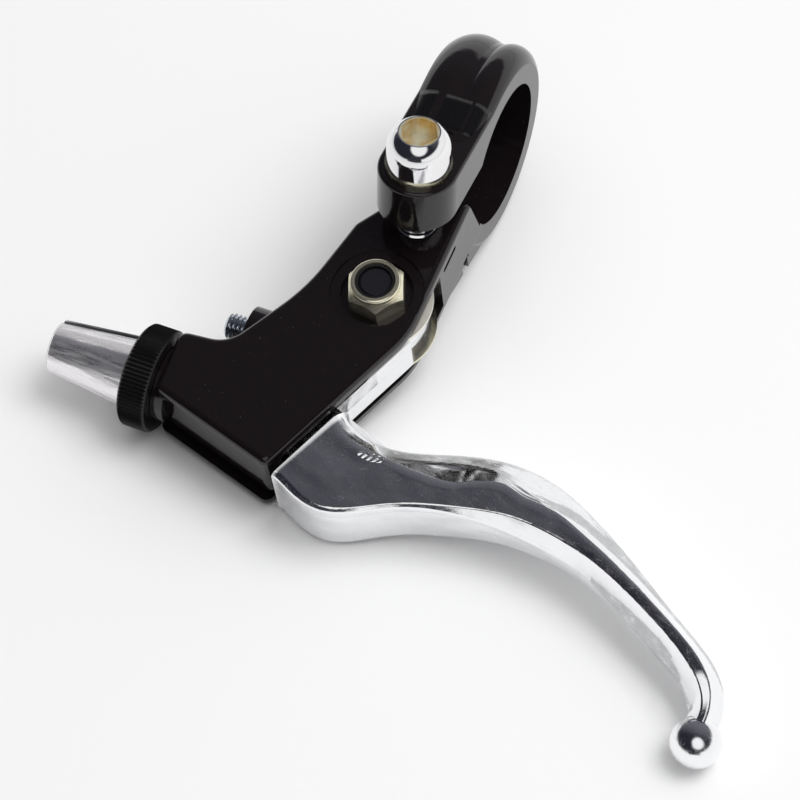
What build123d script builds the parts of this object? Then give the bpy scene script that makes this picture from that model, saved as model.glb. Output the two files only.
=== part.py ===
from build123d import *
import math
import os

# Bicycle brake lever: clamp bracket, hinged blade, barrel adjuster and pivot hardware.
# The origin is the centre of the handlebar bore, +X runs along the handlebar towards the grip,
# +Y points away from the blade and +Z is the pivot axis.

os.makedirs("parts", exist_ok=True)

# Driving dimensions in millimetres and degrees.

# Clamp ring round the handlebar
bar_radius = 11.1
clamp_width = 12.0
ring_edge_wall = 3.2
lobe_rise = 2.0
groove_x = 1.0
groove_width = 1.0
groove_depth = 0.45
ring_corner_radius = 0.6
gusset_reach = -23.0
gusset_angle = -130.0
gusset_width = 11.8

# Clamp ear, its split and its bolt
bolt_tilt = 13.0
ear_reach = 15.9
ear_height = 18.0
ear_thickness = 7.7
ear_edge_radius = 0.6
ear_blend_start = 6.5
split_foot = (-10.8, -4.0)
split_tip_y = -13.4
clamp_bolt_radius = 3.0
clamp_bolt_length = 20.0
clamp_head_radius = 4.75
clamp_head_height = 6.0
clamp_head_side = 2.8
clamp_head_flat = 3.15
clamp_socket_across = 5.0
clamp_socket_depth = 3.2
clamp_washer_radius = 4.95
clamp_washer_thickness = 0.9
bolt_hole_clearance = 0.25
thread_clearance = 0.03

# Bracket body, seen along the pivot axis
body_thickness = 12.5
body_side = 6.2
bend_y = -36.3
front_right = (-5.5, -64.45)
front_left = (-25.2, -58.7)
nose_rear = (-25.7, -47.3)
front_setback = 1.2
front_slot_top = -2.8
waist = (-18.4, -46.6)
rear_bend = (-11.4, -34.4)
neck_rear = (-8.6, -21.8)
neck_front = (-5.8, -17.6)
bend_radius = 15.0
front_corner_radius = 1.3
nose_corner_radius = 1.6
waist_radius = 5.0
rear_bend_radius = 30.0
neck_radius = 2.2
body_edge_radius = 1.1

# Lever slot inside the body
slot_height = 8.6
rear_wall = 1.9
front_wall = 3.0
nose_wall_x = -15.0
web_end_y = -25.2
web_groove_depth = 0.8
web_groove_height = 0.9
web_groove_length = 4.6
web_groove_y = -21.5
web_groove_z = 3.5
web_notch_y = -16.4
web_notch_width = 2.0
web_notch_top = -4.6

# Pivot: bolt, lock nut, bush and washers
pivot_x = -1.0
pivot_y = -31.6
pivot_bolt_radius = 2.5
pivot_bolt_inset = 0.4
pivot_head_radius = 4.6
pivot_head_height = 2.7
pivot_head_side = 0.9
pivot_socket_across = 3.0
pivot_socket_depth = 1.8
nut_across_flats = 8.0
nut_turn = -8.0
nut_hex_height = 3.4
nut_collar_height = 1.1
nut_collar_radius = 3.75
nut_mouth_radius = 3.0
insert_height = 1.3
insert_inset = 0.3
pivot_recess_radius = 5.4
pivot_recess_depth = 1.2
pivot_ring_radius = 7.0
pivot_ring_depth = 0.35
pivot_pad_radius = 6.4
pivot_pad_height = 0.3
pivot_washer_radius = 8.2
pivot_washer_thickness = 0.5
bush_radius = 4.0
running_clearance = 0.05
side_clearance = 0.05
moving_clearance = 0.4

# Cable line: barrel adjuster, lock ring and the slot that lets the cable in from below
cable_y = -53.5
barrel_thread_radius = 4.0
barrel_root_radius = 5.55
barrel_tip_radius = 4.1
barrel_length = 13.2
barrel_chamfer = 0.3
barrel_thread_in_body = 9.0
housing_radius = 2.6
housing_depth = 9.0
cable_hole_radius = 1.1
cable_slot_width = 2.0
barrel_slot_angle = 46.0
lock_ring_radius = 7.85
lock_ring_width = 4.4
lock_ring_chamfer = 0.4
knurl_count = 76
knurl_depth = 0.28
nose_boss_radius = 5.6
nose_boss_length = 0.3
face_gap = 0.1

# Reach screw behind the blade's arm
reach_y = -41.4
reach_boss_radius = 4.0
reach_boss_end = -17.7
reach_screw_radius = 2.0
reach_screw_out = -21.4
reach_socket_across = 2.0
reach_socket_depth = 2.4
reach_gap = 0.4

# Lever arm, shoulder, blade and ball tip
arm_inset = 0.15
pivot_eye_radius = 7.2
nipple_x = -5.6
nipple_radius = 3.7
nipple_wall = 2.2
shoulder_gap = 1.5
shoulder_far_y = -50.1
shoulder_near_y = -64.2
blade_thickness = 11.6
tip_thickness = 6.6
near_round_shoulder = 0.5
near_round_tip = 0.6
far_round_shoulder = 2.8
far_round_tip = 0.7
blade_stations = 13
ball_radius = 3.7
ball_centre = (66.0, -78.7)

# Near edge of the blade, on the fingers' side, from past the shoulder to inside the ball
near_points = [(-1.0, -65.3), (2.6, -66.6), (5.2, -66.8), (10.0, -64.7), (20.0, -60.6), (31.0, -59.4),
               (43.5, -61.8), (54.3, -67.6), (61.2, -72.0), (63.6, -76.2)]

# Far edge of the blade, on the handlebar's side, from past the shoulder to inside the ball
far_points = [(4.6, -51.6), (8.0, -53.2), (12.0, -53.0), (21.0, -50.3), (31.0, -49.3),
              (44.0, -54.3), (57.5, -62.6), (66.6, -69.8), (67.9, -77.2)]

# Slopes beside the blade's flat top: the place as a share of the length, then the width and drop of the
# near slope and of the far slope, as shares of the blade's width and of half its thickness there
blade_slopes = [(0.0, 0.04, 0.1, 0.16, 0.3), (0.3, 0.06, 0.12, 0.26, 0.3), (0.58, 0.26, 0.6, 0.44, 0.45),
                (0.82, 0.4, 0.88, 0.32, 0.85), (1.0, 0.4, 0.88, 0.32, 0.85)]

# Values worked out from the driving dimensions
body_half = body_thickness / 2
slot_half = slot_height / 2
clamp_half = clamp_width / 2
ring_edge_radius = bar_radius + ring_edge_wall
lobe_radius = ring_edge_radius + lobe_rise
groove_radius = lobe_radius - groove_depth
tilt = math.radians(bolt_tilt)
pad_face = slot_half - pivot_pad_height
washer_face = pad_face - pivot_washer_thickness
recess_floor = body_half - pivot_recess_depth
nut_top = recess_floor + nut_hex_height + nut_collar_height
eye_half = washer_face - side_clearance
slot_round = pivot_washer_radius + moving_clearance
lock_ring_face = nose_rear[0] - nose_boss_length - face_gap
barrel_root_x = lock_ring_face - lock_ring_width - face_gap
barrel_tip_x = barrel_root_x - barrel_length
barrel_thread_end = nose_rear[0] + barrel_thread_in_body
lever_side_top = (body_side, bend_y)

ear_plane = Plane(
    origin=(0, -ear_reach, ear_height),
    x_dir=(1, 0, 0),
    z_dir=(0, math.sin(tilt), math.cos(tilt)),
)
bolt_profile_plane = Plane(origin=ear_plane.origin, x_dir=ear_plane.x_dir, z_dir=-ear_plane.y_dir)
bolt_axis = Axis(ear_plane.origin, ear_plane.z_dir)

# Straight run from the ear's flat up to the ring's lobes, which it meets without a step
axis_ahead = -ear_plane.origin.dot(ear_plane.y_dir) - ear_blend_start
axis_below = ear_plane.origin.dot(ear_plane.z_dir)
axis_away = math.hypot(axis_ahead, axis_below)
blend_rise = math.asin(lobe_radius / axis_away) - math.atan2(axis_below, axis_ahead)
blend_length = math.sqrt(axis_away ** 2 - lobe_radius ** 2)
blend_way = ear_plane.y_dir * math.cos(blend_rise) + ear_plane.z_dir * math.sin(blend_rise)
blend_plane = Plane(origin=(0, 0, 0), x_dir=(1, 0, 0), z_dir=-blend_way)

cable_plane = Plane(origin=(0, cable_y, 0), x_dir=(0, 1, 0), z_dir=(1, 0, 0))
cable_axis = Axis((0, cable_y, 0), (1, 0, 0))
reach_plane = Plane(origin=(0, reach_y, 0), x_dir=(0, 1, 0), z_dir=(1, 0, 0))
pivot_plane = Plane(origin=(pivot_x, pivot_y, 0))
pivot_profile_plane = Plane(origin=(pivot_x, pivot_y, 0), x_dir=(1, 0, 0), z_dir=(0, -1, 0))
pivot_axis = Axis((pivot_x, pivot_y, 0), (0, 0, 1))


def sideways(start, end, distance):
    """Both points moved by a distance to the left of the way from start to end."""
    way = Vector(*end) - Vector(*start)
    step = Vector(-way.Y, way.X).normalized() * distance
    return Vector(*start) + step, Vector(*end) + step


def at_x(start, end, x):
    """The point of the line through start and end that has this x."""
    share = (x - start.X) / (end.X - start.X)
    return start + (end - start) * share


def at_y(start, end, y):
    """The point of the line through start and end that has this y."""
    share = (y - start.Y) / (end.Y - start.Y)
    return start + (end - start) * share


def crossing(first, second):
    """The point where two lines meet, each given by two points."""
    way = first[1] - first[0]
    other = Vector(*second[1]) - Vector(*second[0])
    apart = Vector(*second[0]) - first[0]
    return first[0] + way * (apart.cross(other).Z / way.cross(other).Z)


# Front wall above the lower plate
upper_front = sideways(front_left, front_right, front_setback)
upper_left = crossing(upper_front, (front_left, nose_rear))
upper_right = crossing(upper_front, (front_right, lever_side_top))

# Inner faces of the body's walls, and the lines that the lever follows on its open side
rear_inner = sideways(waist, rear_bend, -rear_wall)
front_inner = sideways(upper_left, upper_right, front_wall)
arm_edge = sideways(lever_side_top, front_right, -arm_inset)
shoulder_edge = sideways(lever_side_top, front_right, shoulder_gap)
lobe_rear = Vector(nipple_x - nipple_radius - nipple_wall, cable_y)
eye_rear = Vector(pivot_x - pivot_eye_radius, pivot_y)
reach_screw_in = at_y(lobe_rear, eye_rear, reach_y - reach_screw_radius).X - reach_gap
shoulder_far = at_y(*shoulder_edge, shoulder_far_y)
shoulder_near = at_y(*shoulder_edge, shoulder_near_y)

# Section of the clamp ring: two rounded lobes with a groove between them
with BuildSketch() as ring_section:
    with BuildLine():
        groove_right = groove_x + groove_width / 2
        groove_left = groove_x - groove_width / 2
        right_lobe = ThreePointArc(
            (clamp_half, ring_edge_radius),
            ((clamp_half + groove_right) / 2, lobe_radius),
            (groove_right, groove_radius),
        )
        left_lobe = ThreePointArc(
            (groove_left, groove_radius),
            ((groove_left - clamp_half) / 2, lobe_radius),
            (-clamp_half, ring_edge_radius),
        )
        Line(right_lobe @ 1, left_lobe @ 0)
        Polyline(left_lobe @ 1, (-clamp_half, 0), (clamp_half, 0), right_lobe @ 0)
    make_face()
    fillet(ring_section.vertices().group_by(Axis.Y)[1], ring_corner_radius)

# Ear that carries the clamp bolt, joined to the bracket below
with BuildPart() as clamp_ear:
    with BuildSketch(ear_plane):
        Circle(clamp_half)
        with Locations((0, ear_reach / 2)):
            Rectangle(clamp_width, ear_reach)
    extrude(amount=-ear_thickness)
    fillet(clamp_ear.faces().sort_by(bolt_axis)[-1].edges(), ear_edge_radius)

# Bracket: clamp ring, ear and slotted body, cast in one piece
with BuildPart() as bracket_body:
    # The lower plate, and the body above it, whose front wall is set back
    for level, height, front in (
        (-body_half, body_half - slot_half, (front_right, front_left)),
        (-slot_half, slot_half + body_half, (upper_right, upper_left)),
    ):
        with BuildSketch(Plane.XY.offset(level)):
            with BuildLine():
                FilletPolyline(
                    (body_side, 0),
                    lever_side_top,
                    *front,
                    nose_rear,
                    waist,
                    rear_bend,
                    neck_rear,
                    neck_front,
                    (neck_front[0], 0),
                    radius=[0, bend_radius, front_corner_radius, front_corner_radius, nose_corner_radius,
                            waist_radius, rear_bend_radius, neck_radius, neck_radius, 0],
                    close=True,
                )
            make_face()
        extrude(amount=height)
    outline_edges = bracket_body.edges().group_by(Axis.Z)
    fillet(outline_edges[0] + outline_edges[-1], body_edge_radius)
    # Ring, and the straight run of its lobes down to the ear
    revolve(ring_section.sketch, axis=Axis.X)
    extrude(blend_plane.location * ring_section.sketch, amount=blend_length, dir=-blend_way)
    add(clamp_ear.part)
    # Gusset from the bottom of the ring to the underside of the body
    with BuildSketch(Plane.YZ.offset(-gusset_width / 2)):
        with BuildLine():
            gusset_turn = math.radians(gusset_angle)
            Polyline(
                (gusset_reach, -body_half),
                (ring_edge_radius * math.cos(gusset_turn), ring_edge_radius * math.sin(gusset_turn)),
                (0, -bar_radius / 2),
                (gusset_reach, 0),
                close=True,
            )
        make_face()
    extrude(amount=gusset_width)
    # Boss on the nose, and the boss that holds the reach screw
    with BuildSketch(cable_plane.offset(nose_rear[0] - nose_boss_length)):
        Circle(nose_boss_radius)
    extrude(amount=nose_boss_length + nose_corner_radius)
    with BuildSketch(reach_plane.offset(reach_boss_end)):
        Circle(reach_boss_radius)
    extrude(amount=at_y(*rear_inner, reach_y).X - reach_boss_end)
    # Handlebar bore, and the split between the ear and the body
    with BuildSketch(Plane.YZ.offset(-clamp_width)):
        Circle(bar_radius)
    extrude(amount=2 * clamp_width, mode=Mode.SUBTRACT)
    ear_low = ear_plane.offset(-ear_thickness)
    split_front = ear_low.from_local_coords((0, -clamp_width, 0))
    split_back = ear_low.from_local_coords((0, ear_reach, 0))
    with BuildSketch(Plane.YZ.offset(-clamp_width)):
        with BuildLine():
            Polyline(
                split_foot,
                (split_tip_y, body_half),
                (split_front.Y, body_half),
                (split_front.Y, split_front.Z),
                (split_back.Y, split_back.Z),
                close=True,
            )
        make_face()
    extrude(amount=2 * clamp_width, mode=Mode.SUBTRACT)
    # Slot for the lever: round at the pivot, closed at the back, nose and front, open at its side
    with BuildSketch(Plane.XY.offset(-slot_half)):
        with BuildLine():
            Polyline(
                (pivot_x, pivot_y),
                rear_inner[1],
                at_x(*rear_inner, nose_wall_x),
                at_x(*front_inner, nose_wall_x),
                at_x(*front_inner, body_side),
                (2 * body_side, bend_y),
                (2 * body_side, web_end_y),
                (pivot_x, web_end_y),
                close=True,
            )
        make_face()
        with Locations((pivot_x, pivot_y)):
            Circle(slot_round)
    extrude(amount=slot_height, mode=Mode.SUBTRACT)
    # Cable slot along the front, between the front wall and the lower plate
    with BuildSketch(Plane.XY.offset(-slot_half)):
        with Locations((body_side, cable_y)):
            Rectangle(2 * clamp_width - nose_rear[0], 2 * clamp_width, align=(Align.MAX, Align.MAX))
    extrude(amount=front_slot_top + slot_half, mode=Mode.SUBTRACT)
    # Groove and notch in the side of the web
    with BuildSketch(Plane.YZ.offset(body_side)):
        with Locations((web_groove_y, web_groove_z)):
            SlotOverall(web_groove_length, web_groove_height)
        with Locations((web_notch_y, web_notch_top)):
            Rectangle(web_notch_width, body_thickness, align=(Align.CENTER, Align.MAX))
    extrude(amount=-web_groove_depth, mode=Mode.SUBTRACT)
    # Round pads that the pivot washers lie on
    for side in (1, -1):
        with BuildSketch(pivot_plane.offset(side * slot_half)):
            Circle(pivot_pad_radius)
        extrude(amount=-side * pivot_pad_height)
    # Pivot hole with a stepped round recess on both plates
    with BuildSketch(pivot_plane.offset(-body_thickness)):
        Circle(pivot_bolt_radius + running_clearance)
    extrude(amount=2 * body_thickness, mode=Mode.SUBTRACT)
    for side in (1, -1):
        with BuildSketch(pivot_plane.offset(side * body_half)):
            Circle(pivot_ring_radius)
        extrude(amount=-side * pivot_ring_depth, mode=Mode.SUBTRACT)
        with BuildSketch(pivot_plane.offset(side * body_half)):
            Circle(pivot_recess_radius)
        extrude(amount=-side * pivot_recess_depth, mode=Mode.SUBTRACT)
    # Clamp bolt hole: clear in the ear, threaded in the body
    with BuildSketch(ear_plane):
        Circle(clamp_bolt_radius + bolt_hole_clearance)
    extrude(amount=-ear_thickness, mode=Mode.SUBTRACT)
    with BuildSketch(ear_plane.offset(-ear_thickness)):
        Circle(clamp_bolt_radius + thread_clearance)
    extrude(amount=ear_thickness - clamp_bolt_length, mode=Mode.SUBTRACT)
    # Threaded holes of the barrel adjuster and the reach screw
    with BuildSketch(cable_plane.offset(nose_rear[0] - nose_boss_length)):
        Circle(barrel_thread_radius + running_clearance)
    extrude(amount=nose_wall_x - nose_rear[0] + nose_boss_length, mode=Mode.SUBTRACT)
    with BuildSketch(reach_plane.offset(reach_boss_end)):
        Circle(reach_screw_radius + running_clearance)
    extrude(amount=pivot_x - reach_boss_end, mode=Mode.SUBTRACT)
    # Way in for the cable's end from below: a notch under its pocket, open to the lever's side
    with BuildSketch(Plane.XY.offset(-body_thickness)):
        with Locations((nipple_x, cable_y)):
            Circle(nipple_radius + moving_clearance)
            Rectangle(
                2 * body_side,
                2 * (nipple_radius + moving_clearance),
                align=(Align.MIN, Align.CENTER),
            )
    extrude(amount=body_thickness, mode=Mode.SUBTRACT)
bracket_body.part.label = "bracket_body"
export_step(bracket_body.part, "parts/bracket_body.step")

# Clamp bolt: domed head with a hexagon socket
with BuildPart() as clamp_bolt:
    with BuildSketch(bolt_profile_plane):
        with BuildLine():
            head_base = clamp_washer_thickness
            head_top = head_base + clamp_head_height
            dome_start = head_base + clamp_head_side
            shank = Polyline(
                (0, head_top),
                (0, head_base - clamp_bolt_length),
                (clamp_bolt_radius, head_base - clamp_bolt_length),
                (clamp_bolt_radius, head_base),
                (clamp_head_radius, head_base),
                (clamp_head_radius, dome_start),
            )
            dome = TangentArc(
                (clamp_head_radius, dome_start), (clamp_head_flat, head_top), tangent=(0, 1)
            )
            Line(dome @ 1, shank @ 0)
        make_face()
    revolve(axis=bolt_axis)
    with BuildSketch(ear_plane.offset(head_top)):
        RegularPolygon(clamp_socket_across / 2, 6, major_radius=False)
    extrude(amount=-clamp_socket_depth, mode=Mode.SUBTRACT)
clamp_bolt.part.label = "clamp_bolt"
export_step(clamp_bolt.part, "parts/clamp_bolt.step")

# Washer under the head of the clamp bolt
with BuildPart() as clamp_washer:
    with BuildSketch(ear_plane):
        Circle(clamp_washer_radius)
        Circle(clamp_bolt_radius + bolt_hole_clearance, mode=Mode.SUBTRACT)
    extrude(amount=clamp_washer_thickness)
clamp_washer.part.label = "clamp_washer"
export_step(clamp_washer.part, "parts/clamp_washer.step")

# Pivot bolt: low domed head underneath, plain shank up into the nut
with BuildPart() as pivot_bolt:
    with BuildSketch(pivot_profile_plane):
        with BuildLine():
            head_low = -recess_floor - pivot_head_height
            head_edge = -recess_floor - pivot_head_side
            shank_top = nut_top - pivot_bolt_inset
            bolt_side = Polyline(
                (pivot_head_radius, head_edge),
                (pivot_head_radius, -recess_floor),
                (pivot_bolt_radius, -recess_floor),
                (pivot_bolt_radius, shank_top - pivot_bolt_inset),
                (pivot_bolt_radius - pivot_bolt_inset, shank_top),
                (0, shank_top),
                (0, head_low),
                (pivot_head_radius / 2, head_low),
            )
            TangentArc((pivot_head_radius, head_edge), bolt_side @ 1, tangent=(0, -1))
        make_face()
    revolve(axis=pivot_axis)
    with BuildSketch(pivot_plane.offset(head_low)):
        RegularPolygon(pivot_socket_across / 2, 6, major_radius=False)
    extrude(amount=pivot_socket_depth, mode=Mode.SUBTRACT)
pivot_bolt.part.label = "pivot_bolt"
export_step(pivot_bolt.part, "parts/pivot_bolt.step")

# Lock nut: chamfered hexagon with a round collar
with BuildPart() as pivot_nut:
    with BuildSketch(pivot_plane.offset(recess_floor)):
        RegularPolygon(nut_across_flats / 2, 6, major_radius=False, rotation=nut_turn)
    extrude(amount=nut_hex_height)
    with BuildSketch(pivot_profile_plane):
        with BuildLine():
            corner_radius = nut_across_flats / math.sqrt(3)
            collar_base = recess_floor + nut_hex_height
            Polyline(
                (0, recess_floor),
                (corner_radius, recess_floor),
                (corner_radius, collar_base - (corner_radius - nut_collar_radius)),
                (nut_collar_radius, collar_base),
                (0, collar_base),
                close=True,
            )
        make_face()
    revolve(axis=pivot_axis, mode=Mode.INTERSECT)
    with BuildSketch(pivot_plane.offset(collar_base)):
        Circle(nut_collar_radius)
    extrude(amount=nut_collar_height)
    fillet(pivot_nut.edges().group_by(Axis.Z)[-1], (nut_collar_radius - nut_mouth_radius) * 0.6)
    with BuildSketch(pivot_plane.offset(recess_floor)):
        Circle(pivot_bolt_radius + thread_clearance)
    extrude(amount=nut_hex_height + nut_collar_height, mode=Mode.SUBTRACT)
    with BuildSketch(pivot_plane.offset(nut_top)):
        Circle(nut_mouth_radius)
    extrude(amount=-insert_inset - insert_height, mode=Mode.SUBTRACT)
pivot_nut.part.label = "pivot_nut"
export_step(pivot_nut.part, "parts/pivot_nut.step")

# Nylon ring that locks the nut
with BuildPart() as nut_insert:
    with BuildSketch(pivot_plane.offset(nut_top - insert_inset)):
        Circle(nut_mouth_radius - thread_clearance)
        Circle(pivot_bolt_radius + thread_clearance, mode=Mode.SUBTRACT)
    extrude(amount=-insert_height)
nut_insert.part.label = "nut_insert"
export_step(nut_insert.part, "parts/nut_insert.step")

# Thin washers between the lever's eye and the two plates
with BuildPart() as upper_pivot_washer:
    with BuildSketch(pivot_plane.offset(washer_face)):
        Circle(pivot_washer_radius)
        Circle(pivot_bolt_radius + running_clearance, mode=Mode.SUBTRACT)
    extrude(amount=pivot_washer_thickness)
upper_pivot_washer.part.label = "upper_pivot_washer"
export_step(upper_pivot_washer.part, "parts/upper_pivot_washer.step")

with BuildPart() as lower_pivot_washer:
    with BuildSketch(pivot_plane.offset(-washer_face)):
        Circle(pivot_washer_radius)
        Circle(pivot_bolt_radius + running_clearance, mode=Mode.SUBTRACT)
    extrude(amount=-pivot_washer_thickness)
lower_pivot_washer.part.label = "lower_pivot_washer"
export_step(lower_pivot_washer.part, "parts/lower_pivot_washer.step")

# Bush in the lever's eye, a little longer than the eye
with BuildPart() as pivot_bush:
    with BuildSketch(pivot_plane.offset(-washer_face + side_clearance / 2)):
        Circle(bush_radius - thread_clearance)
        Circle(pivot_bolt_radius + running_clearance, mode=Mode.SUBTRACT)
    extrude(amount=2 * washer_face - side_clearance)
pivot_bush.part.label = "pivot_bush"
export_step(pivot_bush.part, "parts/pivot_bush.step")

# Edges of the blade as two smooth lines, both starting on the shoulder
with BuildLine() as near_edge:
    Spline(shoulder_near, *near_points)
with BuildLine() as far_edge:
    Spline(shoulder_far, *far_points)


def slopes_at(share):
    """Widths and drops of both slopes at a share of the blade's length, changing smoothly between places."""
    for before, after in zip(blade_slopes, blade_slopes[1:]):
        if share <= after[0]:
            part = (share - before[0]) / (after[0] - before[0])
            eased = part * part * (3 - 2 * part)
            return [low + (high - low) * eased for low, high in zip(before[1:], after[1:])]
    return blade_slopes[-1][1:]


def blade_section(share):
    """Plane, corner points and corner radii of the blade's section at a share of its length."""
    near = near_edge.line @ share
    far = far_edge.line @ share
    across = far - near
    width = across.length
    half_height = (blade_thickness + (tip_thickness - blade_thickness) * share) / 2
    near_width, near_drop, far_width, far_drop = slopes_at(share)
    near_round = near_round_shoulder + (near_round_tip - near_round_shoulder) * share
    far_round = far_round_shoulder + (far_round_tip - far_round_shoulder) * share
    plane = Plane(origin=(near + far) / 2, x_dir=across, z_dir=across.cross(Vector(0, 0, 1)))
    top = [
        (-width / 2, half_height * (1 - near_drop)),
        (width * (near_width - 0.5), half_height),
        (width * (0.5 - far_width), half_height),
        (width / 2, half_height * (1 - far_drop)),
    ]
    bottom = [(x, -z) for x, z in reversed(top)]
    rounds = [near_round, near_round, far_round, far_round]
    return plane, top + bottom, rounds + rounds[::-1]


# Lever: eye, arm, shoulder, blade and ball tip, forged in one piece
with BuildPart() as lever_blade:
    for station in range(blade_stations):
        section_plane, corners, rounds = blade_section(station / (blade_stations - 1))
        with BuildSketch(section_plane):
            with BuildLine():
                FilletPolyline(*corners, radius=rounds, close=True)
            make_face()
    loft()
    with Locations(ball_centre):
        Sphere(ball_radius)
    # Arm that runs between the plates, with the eye and the nipple lobe
    with BuildSketch(Plane.XY.offset(-eye_half)):
        with BuildLine():
            Polyline(
                (pivot_x, pivot_y),
                at_y(*arm_edge, bend_y),
                at_y(*arm_edge, shoulder_far_y),
                far_edge.line @ 0.1,
                near_edge.line @ 0.1,
                at_y(*shoulder_edge, cable_y - nipple_radius - nipple_wall),
                (nipple_x, cable_y - nipple_radius - nipple_wall),
                lobe_rear,
                eye_rear,
                close=True,
            )
        make_face()
        with Locations((pivot_x, pivot_y)):
            Circle(pivot_eye_radius)
        with Locations((nipple_x, cable_y)):
            Circle(nipple_radius + nipple_wall)
    extrude(amount=2 * eye_half)
    with BuildSketch(pivot_plane.offset(-eye_half)):
        Circle(bush_radius)
    extrude(amount=2 * eye_half, mode=Mode.SUBTRACT)
    # Pocket for the cable's end, with the slot that the cable leaves by
    with BuildSketch(Plane.XY.offset(-eye_half)):
        with Locations((nipple_x, cable_y)):
            Circle(nipple_radius)
            Rectangle(
                2 * (nipple_radius + nipple_wall),
                cable_slot_width,
                align=(Align.MAX, Align.CENTER),
            )
    extrude(amount=2 * eye_half, mode=Mode.SUBTRACT)
lever_blade.part.label = "lever_blade"
export_step(lever_blade.part, "parts/lever_blade.step")

# Barrel adjuster: slotted cone with a threaded shank
with BuildPart() as barrel_adjuster:
    with BuildSketch(Plane.XY):
        with BuildLine():
            Polyline(
                (barrel_tip_x, cable_y),
                (barrel_tip_x, cable_y + barrel_tip_radius - barrel_chamfer),
                (barrel_tip_x + barrel_chamfer, cable_y + barrel_tip_radius),
                (barrel_root_x, cable_y + barrel_root_radius),
                (barrel_root_x, cable_y + barrel_thread_radius),
                (barrel_thread_end, cable_y + barrel_thread_radius),
                (barrel_thread_end, cable_y),
                close=True,
            )
        make_face()
    revolve(axis=cable_axis)
    with BuildSketch(cable_plane.offset(barrel_tip_x)):
        Circle(housing_radius)
    extrude(amount=housing_depth, mode=Mode.SUBTRACT)
    with BuildSketch(cable_plane.offset(barrel_tip_x)):
        Circle(cable_hole_radius)
    extrude(amount=barrel_thread_end - barrel_tip_x, mode=Mode.SUBTRACT)
    with BuildSketch(cable_plane.offset(barrel_tip_x).rotated((0, 0, barrel_slot_angle))):
        Rectangle(2 * barrel_root_radius, cable_slot_width, align=(Align.MIN, Align.CENTER))
    extrude(amount=barrel_thread_end - barrel_tip_x, mode=Mode.SUBTRACT)
barrel_adjuster.part.label = "barrel_adjuster"
export_step(barrel_adjuster.part, "parts/barrel_adjuster.step")

# Lock ring: straight knurl with chamfered rims and a slot for the cable
with BuildPart() as lock_ring:
    with BuildSketch(cable_plane.offset(lock_ring_face)):
        with BuildLine():
            knurl = []
            for step in range(2 * knurl_count):
                turn = math.pi * step / knurl_count
                radius = lock_ring_radius - knurl_depth * (step % 2)
                knurl.append((radius * math.cos(turn), radius * math.sin(turn)))
            Polyline(*knurl, close=True)
        make_face()
    extrude(amount=-lock_ring_width)
    with BuildSketch(Plane.XY):
        with BuildLine():
            Polyline(
                (lock_ring_face, cable_y),
                (lock_ring_face, cable_y + lock_ring_radius - lock_ring_chamfer),
                (lock_ring_face - lock_ring_chamfer, cable_y + lock_ring_radius),
                (lock_ring_face - lock_ring_width + lock_ring_chamfer, cable_y + lock_ring_radius),
                (lock_ring_face - lock_ring_width, cable_y + lock_ring_radius - lock_ring_chamfer),
                (lock_ring_face - lock_ring_width, cable_y),
                close=True,
            )
        make_face()
    revolve(axis=cable_axis, mode=Mode.INTERSECT)
    with BuildSketch(cable_plane.offset(lock_ring_face)):
        Circle(barrel_thread_radius + running_clearance)
        Rectangle(cable_slot_width, 2 * lock_ring_radius, align=(Align.CENTER, Align.MAX))
    extrude(amount=-lock_ring_width, mode=Mode.SUBTRACT)
lock_ring.part.label = "lock_ring"
export_step(lock_ring.part, "parts/lock_ring.step")

# Reach screw: socket set screw whose inner end stops the arm
with BuildPart() as reach_screw:
    with BuildSketch(reach_plane.offset(reach_screw_out)):
        Circle(reach_screw_radius)
    extrude(amount=reach_screw_in - reach_screw_out)
    with BuildSketch(reach_plane.offset(reach_screw_out)):
        RegularPolygon(reach_socket_across / 2, 6, major_radius=False)
    extrude(amount=reach_socket_depth, mode=Mode.SUBTRACT)
reach_screw.part.label = "reach_screw"
export_step(reach_screw.part, "parts/reach_screw.step")
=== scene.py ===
import math

import bpy
from mathutils import Matrix, Vector


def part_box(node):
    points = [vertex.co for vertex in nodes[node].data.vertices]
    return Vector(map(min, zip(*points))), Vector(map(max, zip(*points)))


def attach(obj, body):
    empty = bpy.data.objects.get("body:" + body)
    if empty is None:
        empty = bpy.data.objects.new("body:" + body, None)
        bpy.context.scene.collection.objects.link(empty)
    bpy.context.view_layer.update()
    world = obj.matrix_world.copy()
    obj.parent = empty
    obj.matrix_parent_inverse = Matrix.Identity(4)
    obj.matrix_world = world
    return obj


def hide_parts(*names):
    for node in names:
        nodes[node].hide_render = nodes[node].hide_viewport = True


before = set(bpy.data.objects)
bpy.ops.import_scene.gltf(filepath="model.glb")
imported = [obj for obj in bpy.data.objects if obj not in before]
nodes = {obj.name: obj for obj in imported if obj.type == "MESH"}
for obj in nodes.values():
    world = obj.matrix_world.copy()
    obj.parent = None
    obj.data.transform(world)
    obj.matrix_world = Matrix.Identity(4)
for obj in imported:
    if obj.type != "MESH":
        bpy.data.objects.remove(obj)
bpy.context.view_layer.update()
scene = bpy.context.scene
MM = 0.001

# Places and sizes in the part's frame, in millimetres

# Camera at the photograph's place
CAMERA_AT = (122.7258, -236.1014, 425.2266)
CAMERA_RIGHT = (0.91995, 0.38462, -0.07587)
CAMERA_BACK = (0.23999, -0.39950, 0.88476)
CAMERA_LENS = 148.5
CAMERA_SENSOR = 36.0

# Floor plane that the ring, the lock ring and the ball touch
REST_NORMAL = Vector((-0.0013, 0.1601, 0.9871))
REST_POINT = Vector((-1.9520, -2.4596, -16.1972))
FLOOR_REACH = 3000.0

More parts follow.
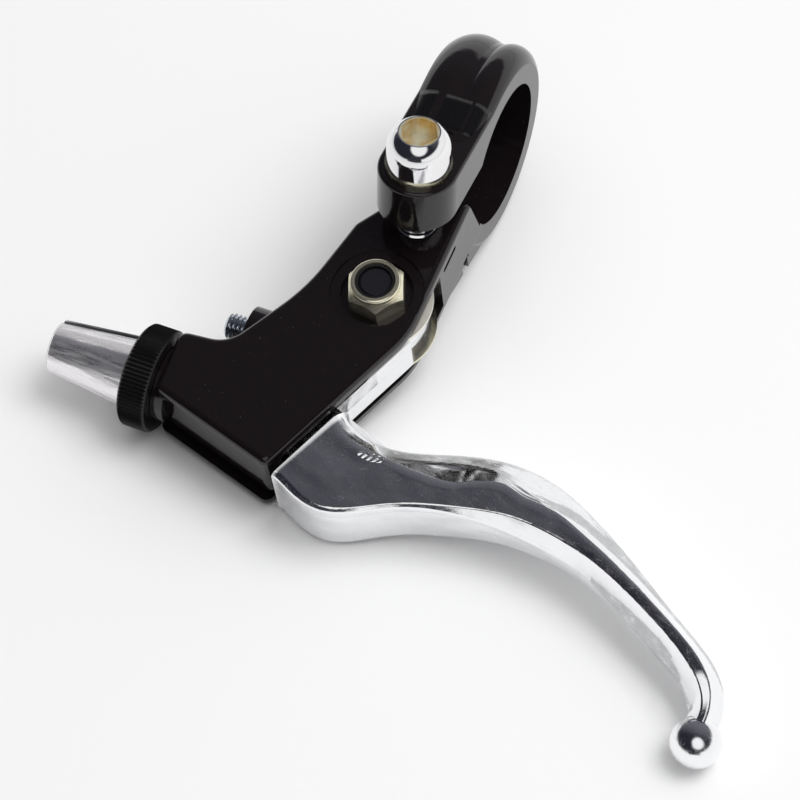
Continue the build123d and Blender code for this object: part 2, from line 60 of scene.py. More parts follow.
# Clamp: the tilted ear with its bolt, and the ring's two lobes as points across the ring (x, radius)
EAR_TOP = Vector((0.0, -15.9, 18.0))
EAR_TILT = math.radians(13.0)
EAR_UP = Vector((0.0, math.sin(EAR_TILT), math.cos(EAR_TILT)))
EAR_BACK = Vector((0.0, math.cos(EAR_TILT), -math.sin(EAR_TILT)))
BLEND_START = 6.5
RING_HALF_WIDTH = 6.0
RING_EDGE_RADIUS = 14.3
LOBE_RADIUS = 16.3
GROOVE_RADIUS = 15.85
RIGHT_LOBE = ((RING_HALF_WIDTH, RING_EDGE_RADIUS), (3.75, LOBE_RADIUS), (1.5, GROOVE_RADIUS))
LEFT_LOBE = ((0.5, GROOVE_RADIUS), (-2.75, LOBE_RADIUS), (-RING_HALF_WIDTH, RING_EDGE_RADIUS))
BOLT_SOCKET_RADIUS = 2.95
BOLT_SOCKET_FLOOR = 3.0
BOLT_PITCH = 1.0

# Reach screw and barrel adjuster, both along X: what lies deeper than the barrel's skin is its slot and bore,
# which get painted shade
REACH_Y = -41.4
CABLE_Y = -53.5
BARREL_ROOT_X = -30.6
BARREL_TIP_X, BARREL_END_X = (corner[0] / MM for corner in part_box("barrel_adjuster"))
BARREL_TIP_RADIUS = 4.1
BARREL_ROOT_RADIUS = 5.55
BARREL_SKIN = 0.25
STREAK_SIZE = (14.0, 0.5, 0.5)
BAND_SIZE = (26.0, 2.6, 2.6)
# Hand polished facet on the barrel: angle from straight back, and the height there
FACET = ((60.0, 0.0), (66.0, 0.05), (83.0, 0.74), (98.0, 1.44), (104.0, 1.50), (420.0, 0.0))
FACET_SEAM = 60.0

# Lever: the line along the blade's top past which it rolls over, and the fall at distances past that line
CREST = (
    (-2.0, -50.0), (7.0, -53.5), (11.0, -56.4), (16.0, -56.9), (20.0, -56.7), (24.0, -55.1), (27.5, -54.2),
    (29.0, -54.5), (31.0, -55.1), (33.5, -55.3), (38.7, -55.7), (43.5, -57.4), (47.5, -59.1), (51.6, -60.9),
    (56.7, -63.6), (60.4, -65.8), (63.0, -67.5), (68.0, -72.7))
ROLL = (
    (-0.8, 0.0), (-0.3, 0.0), (0.5, -0.10), (1.0, -0.32), (1.5, -0.60), (2.2, -0.93), (3.2, -1.25),
    (9.0, -2.60))
NEAR_ROLL = (
    (-6.5, -4.2), (-5.0, -2.0), (-4.2, -1.1), (-3.4, -0.52), (-2.6, -0.23), (-1.8, -0.06), (-1.3, 0.0),
    (-0.8, 0.0))
# The roll is stronger on the shoulder, and the near side rolls only where the blade is slim
SHOULDER_END_X = (22.0, 30.0)
SHOULDER_ROLL = 1.6
SLIM_MIDDLE_X = 50.0
SLIM_START_X = (36.0, 44.0)
# Neck that dips to the ball: distance from the ball's centre, and the height there
NECK = ((3.7, 0.0), (5.0, 0.25), (8.0, 1.5), (9.8, 2.05), (11.0, 2.15), (13.0, 2.15))
BALL_CENTRE = (66.0, -78.7, 0.0)
BALL_EDGE = (3.8, 4.6)
# Cloudy polish, soft waves and patches of hairlines: their sizes, and the way the polish runs
CLOUD_SIZE = (2.5, 1.2, 1.2)
WAVE_SIZE = (12.0, 6.0, 6.0)
SCRATCH_PATCH = (3.0, 3.0, 3.0)
BLADE_TURN = -20.0
# Row of nicks by the shoulder: its half sizes, and its centre along its own axes, which are turned about Z
NICK_ROW = (2.3, 0.7, 6.0)
NICK_CENTRE = (5.43, -56.86, 5.8)
NICK_TURN = 3.0
NICK_ACROSS = (0.85, -0.53, 0.0)
NICK_HALF_STEP = 0.36
# Rim of the shoulder made pale as a painted highlight, with where it fades in and where it is full, and pale
# top of the arm's web
RIM_ACROSS = (0.9083, -0.4184, 0.0)
RIM_LINE = (23.9, 23.4)
RIM_HEIGHT = (4.8, 5.2)
WEB_TOP = 3.45
WEB_MIDDLE_X = 12.0
WEB_HALF_LENGTH = 9.4
WEB_TOLERANCE = 0.06

# Edges of the extra pieces that turn by more than this many degrees are crisp
CRISP_ANGLE = 35.0

# Colours that the materials share out by place
DUST_GREY = (0.04, 0.038, 0.04)
# Painted shade: darker grey for the inside of the barrel's slot and bore
SLOT_SHADE_GREY = (0.20, 0.20, 0.21)
# Painted highlight: pale patches inside the clamp bolt's socket
SOCKET_HIGHLIGHT_GOLD = (0.90, 0.88, 0.74)
WARM_TINT = (1.0, 0.96, 0.86)

# Room that shiny surfaces show: each patch has a direction and the angles where it ends and is full
PAPER_WHITE = (0.95, 0.95, 0.95)
CEILING = ((-0.18, 0.03, 0.98), 80.0, 74.0)
CEILING_FRONT = (0.020, 0.020, 0.028)
CEILING_REAR = (0.13, 0.13, 0.15)
DARK_CORNER = ((0.15, -0.96, 0.22), 25.0, 20.0)
DARK_GREY = (0.03, 0.03, 0.04)
WINDOW = ((0.24, -0.40, 0.885), 30.0, 23.0)
# Soft light on matt surfaces, and the lamp, in metres and watts
LIGHT_FROM = Vector((0.35, 0.50, 0.79)).normalized()
SHADE = (0.08, 0.08, 0.08)
FULL_LIGHT = (1.0, 1.0, 1.0)
LAMP_AT = (0.38, 0.30, 0.86)
LAMP_TARGET = (0.01, -0.04, 0.0)
LAMP_SIZE = 0.6
LAMP_POWER = 4.8


# Node helpers

def new_material(name):
    mat = bpy.data.materials.new(name)
    mat.use_nodes = True
    tree = mat.node_tree
    return mat, tree, tree.nodes["Principled BSDF"]


def link(tree, source, target):
    tree.links.new(source, target)


def place_on(tree, unit=(1.0, 1.0, 1.0), turn=0.0):
    """Place on the object, counted in units of so many millimetres along each axis, turned about Z."""
    coord = tree.nodes.new("ShaderNodeTexCoord")
    mapping = tree.nodes.new("ShaderNodeMapping")
    mapping.vector_type = "TEXTURE"
    mapping.inputs["Scale"].default_value = [size * MM for size in unit]
    mapping.inputs["Rotation"].default_value = (0.0, 0.0, math.radians(turn))
    link(tree, coord.outputs["Object"], mapping.inputs["Vector"])
    return mapping.outputs["Vector"]


def noise(tree, vector, scale=1.0, detail=3.0, roughness=0.5):
    """Soft random pattern between 0 and 1."""
    tex = tree.nodes.new("ShaderNodeTexNoise")
    tex.inputs["Scale"].default_value = scale
    tex.inputs["Detail"].default_value = detail
    tex.inputs["Roughness"].default_value = roughness
    link(tree, vector, tex.inputs["Vector"])
    return tex.outputs["Fac"]


def remap(tree, value, low, high, to_low, to_high):
    """A range of values turned into another one, and held at its ends."""
    node = tree.nodes.new("ShaderNodeMapRange")
    for key, number in (("From Min", low), ("From Max", high), ("To Min", to_low), ("To Max", to_high)):
        node.inputs[key].default_value = number
    link(tree, value, node.inputs["Value"])
    return node.outputs["Result"]


def fade(tree, value, none, full):
    """0 where a value is at none or before it, 1 where it is at full or past it."""
    return remap(tree, value, none, full, 0.0, 1.0)


def math_node(tree, kind, *values):
    """One step of arithmetic on numbers and sockets."""
    node = tree.nodes.new("ShaderNodeMath")
    node.operation = kind
    for socket, value in zip(node.inputs, values):
        if isinstance(value, (int, float)):
            socket.default_value = value
        else:
            link(tree, value, socket)
    return node.outputs["Value"]


def mix_color(tree, factor, first, second):
    """The first colour where the factor is 0, the second where it is 1."""
    node = tree.nodes.new("ShaderNodeMix")
    node.data_type = "RGBA"
    link(tree, factor, node.inputs["Factor"])
    for socket, value in ((node.inputs["A"], first), (node.inputs["B"], second)):
        if isinstance(value, tuple):
            socket.default_value = (*value, 1.0)
        else:
            link(tree, value, socket)
    return node.outputs["Result"]


def profile(tree, value, points):
    """Smooth curve through points: each gives a value and what it turns into."""
    (low, _), (high, _) = points[0], points[-1]
    bottom = min(out for _, out in points)
    span = max(out for _, out in points) - bottom
    node = tree.nodes.new("ShaderNodeFloatCurve")
    curve = node.mapping.curves[0]
    for index, (at, out) in enumerate(points):
        spot = ((at - low) / (high - low), (out - bottom) / span)
        if index in (0, len(points) - 1):
            curve.points[0 if index == 0 else -1].location = spot
        else:
            curve.points.new(*spot)
    node.mapping.update()
    link(tree, fade(tree, value, low, high), node.inputs["Value"])
    return math_node(tree, "MULTIPLY_ADD", node.outputs["Value"], span, bottom)


def bump(tree, shader, height, strength=1.0, unit=1.0):
    """Relief from a height that is counted in units of so many millimetres."""
    node = tree.nodes.new("ShaderNodeBump")
    node.inputs["Strength"].default_value = strength
    node.inputs["Distance"].default_value = unit * MM
    link(tree, height, node.inputs["Height"])
    link(tree, node.outputs["Normal"], shader.inputs["Normal"])


def vector_math(tree, kind, vector, other):
    """One step of arithmetic on a vector and a fixed one."""
    node = tree.nodes.new("ShaderNodeVectorMath")
    node.operation = kind
    link(tree, vector, node.inputs[0])
    node.inputs[1].default_value = other
    return node.outputs["Value" if kind in ("DOT_PRODUCT", "DISTANCE") else "Vector"]


def along_and_out(tree, point, axis):
    """Distance along an axis through a point, and distance away from that axis, in millimetres."""
    place = place_on(tree)
    along = vector_math(tree, "DOT_PRODUCT", vector_math(tree, "SUBTRACT", place, point), axis)
    away = vector_math(tree, "DISTANCE", place, point)
    away_squared = math_node(tree, "MULTIPLY", away, away)
    along_squared = math_node(tree, "MULTIPLY", along, along)
    out = math_node(tree, "SQRT", math_node(tree, "SUBTRACT", away_squared, along_squared))
    return along, out


def scratch_lines(tree, turn, unit, share):
    """Thin broken lines along one direction: 1 on a scratch, 0 beside it."""
    lines = noise(tree, place_on(tree, unit, turn), detail=1.0)
    off_line = math_node(tree, "ABSOLUTE", math_node(tree, "SUBTRACT", lines, 0.5))
    thin = fade(tree, off_line, 0.02, 0.0)
    broken = fade(tree, noise(tree, place_on(tree, SCRATCH_PATCH, turn)), share, share + 0.08)
    return math_node(tree, "MULTIPLY", thin, broken)


def uneven(tree, pattern, rough, least, most):
    """Roughness that follows a pattern, between two shares of its usual value."""
    return remap(tree, pattern, 0.3, 0.7, rough * least, rough * most)


# Materials

def gloss_paint(name, color, rough):
    """Gloss black paint over a casting: faint orange peel, changing gloss and a few pale specks of dust."""
    mat, tree, shader = new_material(name)
    shader.inputs["IOR"].default_value = 1.5
    place = place_on(tree)
    specks = fade(tree, noise(tree, place, 2.6, detail=1.0), 0.76, 0.80)
    link(tree, mix_color(tree, specks, color, DUST_GREY), shader.inputs["Base Color"])
    patches = noise(tree, place, 0.35, detail=4.0)
    link(tree, uneven(tree, patches, rough, 0.8, 1.3), shader.inputs["Roughness"])
    bump(tree, shader, noise(tree, place, 0.9, detail=2.0), strength=0.05, unit=0.2)
    return mat


def blade_marks(tree, place):
    """Fine specks and hairlines in three directions: 1 on a mark, 0 beside it."""
    marks = fade(tree, noise(tree, place, 5.0, roughness=0.7), 0.60, 0.72)
    hairlines = (
        (-18.0, (9.0, 0.5, 0.5), 0.55),
        (24.0, (7.0, 0.45, 0.45), 0.58),
        (-62.0, (6.0, 0.5, 0.5), 0.60))
    for turn, unit, share in hairlines:
        marks = math_node(tree, "MAXIMUM", marks, scratch_lines(tree, turn, unit, share))
    return marks


def blade_pale_patches(tree, place, x, z):
    """1 on the shoulder's rim, a painted highlight, and on the web's top, both made less metallic so they
    show pale, and 0 elsewhere.
    """
    past_rim = vector_math(tree, "DOT_PRODUCT", place, RIM_ACROSS)
    rim = math_node(tree, "MULTIPLY", fade(tree, past_rim, *RIM_LINE), fade(tree, z, *RIM_HEIGHT))
    web = math_node(tree, "MULTIPLY", math_node(tree, "COMPARE", z, WEB_TOP, WEB_TOLERANCE),
                    math_node(tree, "COMPARE", x, WEB_MIDDLE_X, WEB_HALF_LENGTH))
    return math_node(tree, "MAXIMUM", rim, web)


def blade_nicks(tree, place):
    """Height of a short row of nicks, in millimetres."""
    centre = tuple(at / half for at, half in zip(NICK_CENTRE, NICK_ROW))
    from_row = vector_math(tree, "DISTANCE", place_on(tree, NICK_ROW, NICK_TURN), centre)
    steps = math_node(tree, "PINGPONG", vector_math(tree, "DOT_PRODUCT", place, NICK_ACROSS), NICK_HALF_STEP)
    return math_node(tree, "MULTIPLY", steps, fade(tree, from_row, 1.0, 0.6))


def blade_roll(tree, place, x, y, z):
    """Height of the top's roll to both sides of its crest and of the neck's dip, in millimetres."""
    past = math_node(tree, "SUBTRACT", y, profile(tree, x, CREST))
    strength = remap(tree, x, *SHOULDER_END_X, SHOULDER_ROLL, 1.0)
    roll = math_node(tree, "MULTIPLY", profile(tree, past, ROLL), strength)
    slim_part = fade(tree, math_node(tree, "PINGPONG", x, SLIM_MIDDLE_X), *SLIM_START_X)
    roll = math_node(tree, "MULTIPLY_ADD", profile(tree, past, NEAR_ROLL), slim_part, roll)
    from_ball = vector_math(tree, "DISTANCE", place, BALL_CENTRE)
    upper = math_node(tree, "GREATER_THAN", z, 0.0)
    top = math_node(tree, "MULTIPLY", upper, fade(tree, from_ball, *BALL_EDGE))
    return math_node(tree, "MULTIPLY_ADD", roll, top, profile(tree, from_ball, NECK))


def polished_blade(name, color, rough):
    """Polished forging: its top rolls over to both sides, with fine specks, hairlines and a row of nicks."""
    mat, tree, shader = new_material(name)
    shader.inputs["Base Color"].default_value = (*color, 1.0)
    place = place_on(tree)
    split = tree.nodes.new("ShaderNodeSeparateXYZ")
    link(tree, place, split.inputs["Vector"])
    x, y, z = (split.outputs[axis] for axis in "XYZ")
    cloudy = noise(tree, place_on(tree, CLOUD_SIZE, BLADE_TURN), detail=6.0, roughness=0.7)
    sheen = remap(tree, cloudy, 0.35, 0.7, rough * 0.6, rough * 2.2)
    sheen = math_node(tree, "MULTIPLY_ADD", blade_marks(tree, place), 0.26, sheen)
    link(tree, sheen, shader.inputs["Roughness"])
    # Painted highlight: the shoulder's rim loses most of its metal and shows pale; the web's top does the
    # same
    painted_light_patch = blade_pale_patches(tree, place, x, z)
    link(tree, remap(tree, painted_light_patch, 0.0, 1.0, 1.0, 0.25), shader.inputs["Metallic"])
    waves = noise(tree, place_on(tree, WAVE_SIZE, BLADE_TURN), detail=1.0)
    relief = math_node(tree, "MULTIPLY_ADD", waves, 0.5, blade_roll(tree, place, x, y, z))
    relief = math_node(tree, "MULTIPLY_ADD", cloudy, 0.012, relief)
    relief = math_node(tree, "MULTIPLY_ADD", blade_nicks(tree, place), 0.5, relief)
    bump(tree, shader, relief)
    return mat


def turned_barrel(name, color, rough):
    """Drawn and polished barrel: streaks and a flat along it, with painted shade in its slot and bore, darker
    grey and rougher there.
    """
    mat, tree, shader = new_material(name)
    shader.inputs["Metallic"].default_value = 0.92
    along, out = along_and_out(tree, (BARREL_ROOT_X, CABLE_Y, 0.0), (1.0, 0.0, 0.0))
    taper = (BARREL_ROOT_RADIUS - BARREL_TIP_RADIUS) / (BARREL_ROOT_X - BARREL_TIP_X)
    skin = math_node(tree, "MULTIPLY_ADD", along, taper, BARREL_ROOT_RADIUS - BARREL_SKIN)
    head = math_node(tree, "LESS_THAN", along, 0.0)
    # Painted shade: the slot and bore are coloured darker grey and made rougher
    painted_light_patch = math_node(tree, "MULTIPLY", math_node(tree, "LESS_THAN", out, skin), head)
    link(tree, mix_color(tree, painted_light_patch, color, SLOT_SHADE_GREY), shader.inputs["Base Color"])
    streaks = noise(tree, place_on(tree, STREAK_SIZE), detail=5.0, roughness=0.65)
    sheen = uneven(tree, streaks, rough, 0.6, 1.7)
    link(tree, math_node(tree, "MULTIPLY_ADD", painted_light_patch, 0.35, sheen), shader.inputs["Roughness"])
    bands = noise(tree, place_on(tree, BAND_SIZE), detail=2.0)
    drawn = math_node(tree, "MULTIPLY_ADD", streaks, 0.05, math_node(tree, "MULTIPLY", bands, 0.5))
    # The angle is counted from the side opposite the seam, so that it jumps only at the seam
    middle = FACET_SEAM + 180.0
    around = vector_math(tree, "SUBTRACT", place_on(tree), (0.0, CABLE_Y, 0.0))
    ahead, aside = (vector_math(tree, "DOT_PRODUCT", around, (0.0, math.cos(a), math.sin(a)))
                    for a in (math.radians(middle), math.radians(middle + 90.0)))
    turn = math_node(tree, "ARCTAN2", aside, ahead)
    facet = profile(tree, math_node(tree, "MULTIPLY_ADD", turn, math.degrees(1.0), middle), FACET)
    bump(tree, shader, math_node(tree, "MULTIPLY_ADD", facet, head, drawn))
    return mat


def plated_steel(name, color, rough, metal=1.0):
    """Zinc plated steel: small changes of gloss and tint from place to place."""
    mat, tree, shader = new_material(name)
    shader.inputs["Metallic"].default_value = metal
    place = place_on(tree)
    patch = noise(tree, place, 0.5, detail=4.0)
    warm = tuple(c * k for c, k in zip(color, WARM_TINT))
    link(tree, mix_color(tree, patch, color, warm), shader.inputs["Base Color"])
    link(tree, uneven(tree, patch, rough, 0.7, 1.4), shader.inputs["Roughness"])
    bump(tree, shader, noise(tree, place, 4.0), strength=0.08, unit=0.1)
    return mat


def bolt_steel(name, color, gold, rough):
    """Bright bolt: gold tinted inside its socket, with pale patches and less metal there as painted
    highlight, threaded below its head.
    """
    mat, tree, shader = new_material(name)
    along, out = along_and_out(tree, EAR_TOP, EAR_UP)
    inside = math_node(tree, "MULTIPLY", math_node(tree, "LESS_THAN", out, BOLT_SOCKET_RADIUS),
                       math_node(tree, "GREATER_THAN", along, BOLT_SOCKET_FLOOR))
    patch = noise(tree, place_on(tree), 0.45, detail=2.0)
    # Gold tint in the socket, with pale patches as painted highlight; less metal there makes it show lit
    tint_and_highlight = mix_color(tree, fade(tree, patch, 0.35, 0.65), gold, SOCKET_HIGHLIGHT_GOLD)
    link(tree, mix_color(tree, inside, color, tint_and_highlight), shader.inputs["Base Color"])
    sheen = uneven(tree, patch, rough, 0.7, 1.4)
    link(tree, math_node(tree, "MULTIPLY_ADD", inside, 0.15, sheen), shader.inputs["Roughness"])
    link(tree, remap(tree, inside, 0.0, 1.0, 1.0, 0.65), shader.inputs["Metallic"])
    shank = math_node(tree, "LESS_THAN", along, 0.0)
    thread = math_node(tree, "MULTIPLY", math_node(tree, "PINGPONG", along, BOLT_PITCH / 2), shank)
    bump(tree, shader, thread, unit=1.2)
    return mat


def satin_black(name, color, rough, shine):
    """Dark satin plastic or oxide with a fine grain and changing gloss."""
    mat, tree, shader = new_material(name)
    shader.inputs["Specular IOR Level"].default_value = shine
    grain = noise(tree, place_on(tree), 2.5)
    link(tree, mix_color(tree, grain, color, tuple(c * 1.6 for c in color)), shader.inputs["Base Color"])
    link(tree, uneven(tree, grain, rough, 0.85, 1.2), shader.inputs["Roughness"])
    bump(tree, shader, grain, strength=0.15, unit=0.1)
    return mat


looks = {
    "bracket_body": gloss_paint("gloss_black_paint", (0.0085, 0.0062, 0.0070), 0.10),
    "clamp_bolt": bolt_steel("bright_bolt", (0.86, 0.86, 0.87), (0.78, 0.56, 0.20), 0.07),
    "clamp_washer": plated_steel("bolt_washer", (0.62, 0.60, 0.48), 0.22),
    "pivot_bolt": satin_black("black_oxide", (0.010, 0.009, 0.012), 0.28, 0.5),
    "pivot_nut": plated_steel("pale_zinc", (0.84, 0.81, 0.66), 0.16, 0.88),
    "nut_insert": satin_black("black_nylon", (0.010, 0.010, 0.010), 0.35, 0.4),
    # The upper washer is a paler, less metallic copy of the lower washer's zinc: painted highlight
    "upper_pivot_washer": plated_steel("washer_zinc", (0.94, 0.93, 0.88), 0.18, 0.5),
    "lower_pivot_washer": plated_steel("washer_zinc_low", (0.86, 0.83, 0.70), 0.18),
    "pivot_bush": plated_steel("bronze_bush", (0.62, 0.42, 0.22), 0.3),
    "lever_blade": polished_blade("polished_blade", (0.94, 0.945, 0.96), 0.11),
    "barrel_adjuster": turned_barrel("turned_barrel", (0.96, 0.94, 0.96), 0.30),
    "lock_ring": satin_black("black_ring", (0.0045, 0.0038, 0.0040), 0.32, 0.35),
    "reach_screw": plated_steel("blue_zinc", (0.62, 0.68, 0.78), 0.2),
}
for node_name, mat in looks.items():
    nodes[node_name].data.materials.clear()
    nodes[node_name].data.materials.append(mat)


# Extra pieces

def mesh_piece(name, points, faces, mat, body):
    """Piece from points in millimetres: smooth, with crisp edges, on a body."""
    mesh = bpy.data.meshes.new(name)
    mesh.from_pydata([Vector(p) * MM for p in points], [], faces)
    mesh.validate()
    mesh.shade_smooth()
    mesh.set_sharp_from_angle(angle=math.radians(CRISP_ANGLE))
    piece = bpy.data.objects.new(name, mesh)
    scene.collection.objects.link(piece)
    mesh.materials.append(mat)
    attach(piece, body)
    return piece


def skin_of(loops, size):
    """Faces between loops of so many points each, one loop after the other."""
    faces = []
    for k in range(loops - 1):
        for i in range(size):
            j = (i + 1) % size
            faces.append((k * size + i, k * size + j, (k + 1) * size + j, (k + 1) * size + i))
    return faces


def reach_screw_piece():
    """Set screw with a real helical thread, a chamfer at both ends and a hexagon socket."""
    start, end = -21.4, -10.4
    radius, pitch, depth, steepness, crest = 2.0, 0.7, 0.42, 1.4, 0.2
    chamfer, socket, sink = 0.45, 1.0, 2.4
    lip_depth, lip_width, drill_point, socket_draft = 0.2, 0.12, 0.4, 0.97
    turn_parts, rows_per_turn = 48, 10

    def loop(x, radius_at):
        turns = [2 * math.pi * i / turn_parts for i in range(turn_parts)]
        return [(x, REACH_Y + radius_at(a) * math.cos(a), radius_at(a) * math.sin(a)) for a in turns]

    def hexagon(a):
        return socket / math.cos((a + math.pi / 6) % (math.pi / 3) - math.pi / 6)

    def threaded(x):
        cap = radius - max(0.0, chamfer - (x - start), chamfer - (end - x))

        def radius_at(a):
            wave = abs(((x / pitch - a / (2 * math.pi)) % 1.0) * 2 - 1)
            return min(cap, radius - depth * min(1.0, max(0.0, wave * steepness - crest)))

        return radius_at

    rows = int((end - start) / pitch * rows_per_turn)
    loops = [
        loop(start + sink, lambda a: hexagon(a) * socket_draft),
        loop(start + lip_depth, hexagon),
        loop(start, lambda a: hexagon(a) + lip_width)]
    for row in range(rows + 1):
        x = start + (end - start) * row / rows
        loops.append(loop(x, threaded(x)))
    points = [p for ring in loops for p in ring]
    faces = skin_of(len(loops), turn_parts)
    points.append((start + sink + drill_point, REACH_Y, 0.0))
    points.append((end, REACH_Y, 0.0))
    last = (len(loops) - 1) * turn_parts
    for i in range(turn_parts):
        j = (i + 1) % turn_parts
        faces.append((j, i, len(points) - 2))
        faces.append((last + i, last + j, len(points) - 1))
    mat = looks["reach_screw"]
    return mesh_piece("reach_screw_threaded", points, faces, mat, "reach")


screw = reach_screw_piece()
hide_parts("reach_screw")


def barrel_piece():
    """Cone with a socket and a threaded shank: one slot runs its whole length, up and back."""
    chamfer, socket, sink, hole, step = 0.3, 2.6, 9.0, 1.1, 0.05
    shank, pitch, depth = 4.0, 1.0, 0.35
    half_slot, slot_at = 0.8, math.radians(46.0)
    arc_parts, rows_per_turn = 72, 6
    shoulder = BARREL_TIP_X + chamfer
    socket_floor = BARREL_TIP_X + sink
    shank_start = BARREL_ROOT_X + step

    def cone(x):
        share = (x - shoulder) / (BARREL_ROOT_X - shoulder)
        return BARREL_TIP_RADIUS + (BARREL_ROOT_RADIUS - BARREL_TIP_RADIUS) * share

    # Each station has a place along the barrel, an outer radius and an inner one
    stations = [
        (BARREL_TIP_X, BARREL_TIP_RADIUS - chamfer, socket),
        (shoulder, BARREL_TIP_RADIUS, socket),
        (socket_floor, cone(socket_floor), socket),
        (socket_floor + step, cone(socket_floor + step), hole),
        (BARREL_ROOT_X, BARREL_ROOT_RADIUS, hole)]
    rows = int((BARREL_END_X - shank_start) / pitch * rows_per_turn)
    for row in range(rows + 1):
        x = shank_start + (BARREL_END_X - shank_start) * row / rows
        stations.append((x, shank - depth * abs((x / pitch) % 1.0 * 2 - 1), hole))
    points = []
    for x, outer, inner in stations:
        for radius, order in ((outer, range(arc_parts + 1)), (inner, range(arc_parts, -1, -1))):
            gap = math.asin(half_slot / radius)
            for i in order:
                a = slot_at + gap + (2 * math.pi - 2 * gap) * i / arc_parts
                points.append((x, CABLE_Y + radius * math.cos(a), radius * math.sin(a)))
    size = 2 * (arc_parts + 1)
    faces = skin_of(len(stations), size)
    last = (len(stations) - 1) * size
    for i in range(arc_parts):
        faces.append((i, size - 1 - i, size - 2 - i, i + 1))
        faces.append((last + i + 1, last + size - 2 - i, last + size - 1 - i, last + i))
    mat = looks["barrel_adjuster"]
    return mesh_piece("slotted_barrel", points, faces, mat, "barrel")


barrel = barrel_piece()
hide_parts("barrel_adjuster")


def circle_height(points, x):
    """Height at x of the circle through three points."""
    (ax, ay), (bx, by), (cx, cy) = points
    d = 2 * (ax * (by - cy) + bx * (cy - ay) + cx * (ay - by))
    a2, b2, c2 = ax * ax + ay * ay, bx * bx + by * by, cx * cx + cy * cy
    mx = (a2 * (by - cy) + b2 * (cy - ay) + c2 * (ay - by)) / d
    my = (a2 * (cx - bx) + b2 * (ax - cx) + c2 * (bx - ax)) / d
    return my + math.sqrt((ax - mx) ** 2 + (ay - my) ** 2 - (x - mx) ** 2)


def label_piece():
    """Blank sticker on the straight run from the ear to the ring: it bridges the groove between the lobes."""
    ahead = -EAR_TOP.dot(EAR_BACK) - BLEND_START
    below = EAR_TOP.dot(EAR_UP)
    rise = math.asin(LOBE_RADIUS / math.hypot(ahead, below)) - math.atan2(below, ahead)
    way = EAR_BACK * math.cos(rise) + EAR_UP * math.sin(rise)
    outward = EAR_UP * math.cos(rise) - EAR_BACK * math.sin(rise)
    foot = EAR_TOP + EAR_BACK * BLEND_START
    left, right, low, high = -5.6, 5.8, 1.3, 7.3
    lift, thickness = 0.045, 0.06
    across, along = 40, 6
    points = []
    for i in range(along + 1):
        for k in range(across + 1):
            x = left + (right - left) * k / across
            height = LOBE_RADIUS
            if x < LEFT_LOBE[1][0]:
                height = circle_height(LEFT_LOBE, x)
            elif x > RIGHT_LOBE[1][0]:
                height = circle_height(RIGHT_LOBE, x)
            at = foot + way * (low + (high - low) * i / along) + outward * (height - LOBE_RADIUS + lift)
            points.append((x, at.y, at.z))
    row = across + 1
    faces = [(i * row + k, i * row + k + 1, (i + 1) * row + k + 1, (i + 1) * row + k)
             for i in range(along) for k in range(across)]
    film_look = satin_black("label_film", (0.004, 0.0035, 0.004), 0.2, 0.35)
    piece = mesh_piece("blank_label", points, faces, film_look, "bracket")
    film = piece.modifiers.new("film", "SOLIDIFY")
    film.thickness = thickness * MM
    film.offset = -1.0


label_piece()

# Floor

floor_mesh = bpy.data.meshes.new("floor")
side_y = REST_NORMAL.cross(Vector((1, 0, 0))).normalized() * FLOOR_REACH
side_x = side_y.cross(REST_NORMAL).normalized() * FLOOR_REACH
floor_mesh.from_pydata([(REST_POINT + side_x * a + side_y * b) * MM for a, b in
                        ((-1, -1), (1, -1), (1, 1), (-1, 1))], [], [(0, 1, 2, 3)])
floor = bpy.data.objects.new("floor", floor_mesh)
scene.collection.objects.link(floor)
floor_mat, _, floor_shader = new_material("pale_floor")
floor_shader.inputs["Base Color"].default_value = (0.96, 0.96, 0.96, 1.0)
floor_shader.inputs["Roughness"].default_value = 0.9
floor_shader.inputs["Specular IOR Level"].default_value = 0.0
floor_mesh.materials.append(floor_mat)

# World: soft light for matt surfaces, while shiny ones show a white room with a dim ceiling and a window

world = bpy.data.worlds.new("studio")
scene.world = world
world.use_nodes = True
sky = world.node_tree
background = sky.nodes["Background"]
heading = sky.nodes.new("ShaderNodeTexCoord").outputs["Generated"]
path = sky.nodes.new("ShaderNodeLightPath")


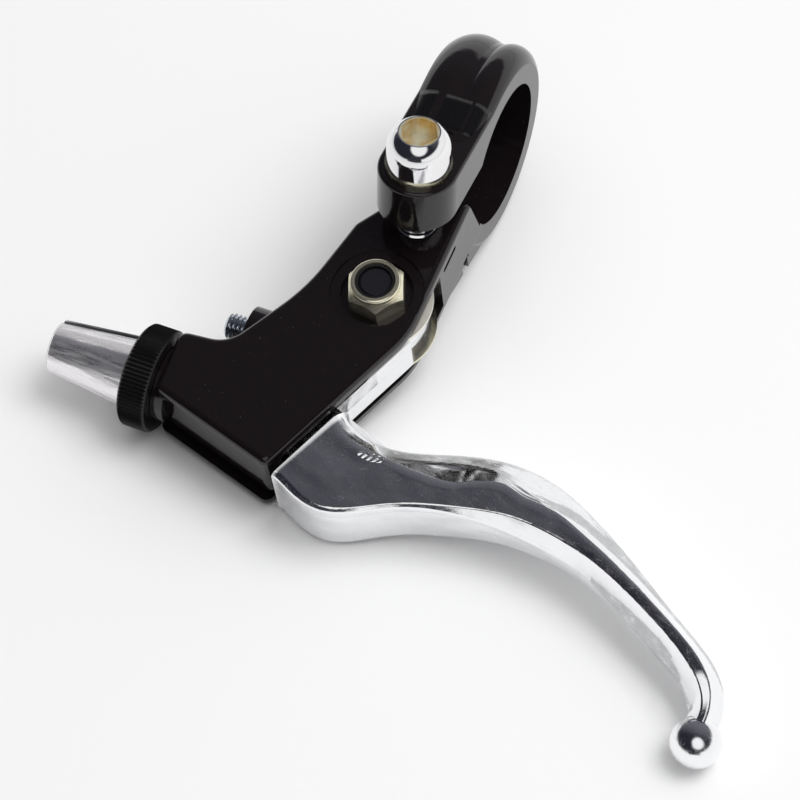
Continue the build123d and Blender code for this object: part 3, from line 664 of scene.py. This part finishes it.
def patch_of_sky(direction, outer, inner):
    """1 within the inner angle of a direction, 0 outside the outer one."""
    toward = vector_math(sky, "DOT_PRODUCT", heading, Vector(direction).normalized())
    return fade(sky, toward, math.cos(math.radians(outer)), math.cos(math.radians(inner)))


rear = vector_math(sky, "DOT_PRODUCT", heading, (0.0, 1.0, 0.0))
dim = mix_color(sky, fade(sky, rear, 0.0, 0.85), CEILING_FRONT, CEILING_REAR)
room = mix_color(sky, patch_of_sky(*CEILING), PAPER_WHITE, dim)
room = mix_color(sky, patch_of_sky(*DARK_CORNER), room, DARK_GREY)
room = mix_color(sky, patch_of_sky(*WINDOW), room, PAPER_WHITE)
bounced = math_node(sky, "GREATER_THAN", path.outputs["Diffuse Depth"], 0.5)
room = mix_color(sky, bounced, room, PAPER_WHITE)
lit = vector_math(sky, "DOT_PRODUCT", heading, LIGHT_FROM)
matt = mix_color(sky, fade(sky, lit, 0.15, 0.95), SHADE, FULL_LIGHT)
shown = mix_color(sky, path.outputs["Is Glossy Ray"], matt, room)
seen = mix_color(sky, path.outputs["Is Camera Ray"], shown, PAPER_WHITE)
link(sky, seen, background.inputs["Color"])
background.inputs["Strength"].default_value = 1.0

# Key lamp

lamp_data = bpy.data.lights.new("key", "AREA")
lamp_data.size = LAMP_SIZE
lamp_data.energy = LAMP_POWER
lamp = bpy.data.objects.new("key", lamp_data)
lamp.location = LAMP_AT
lamp.rotation_euler = (Vector(LAMP_TARGET) - Vector(LAMP_AT)).to_track_quat("-Z", "Y").to_euler()
lamp.visible_glossy = False
scene.collection.objects.link(lamp)

# Camera

right = Vector(CAMERA_RIGHT).normalized()
back = Vector(CAMERA_BACK)
back = (back - right * right.dot(back)).normalized()
camera_data = bpy.data.cameras.new("camera")
camera_data.sensor_width = CAMERA_SENSOR
camera_data.lens = CAMERA_LENS
camera = bpy.data.objects.new("camera", camera_data)
camera.matrix_world = Matrix.Translation(Vector(CAMERA_AT) * MM) @ Matrix(
    (right, back.cross(right), back)).transposed().to_4x4()
scene.collection.objects.link(camera)
scene.camera = camera

scene.view_settings.view_transform = "Standard"
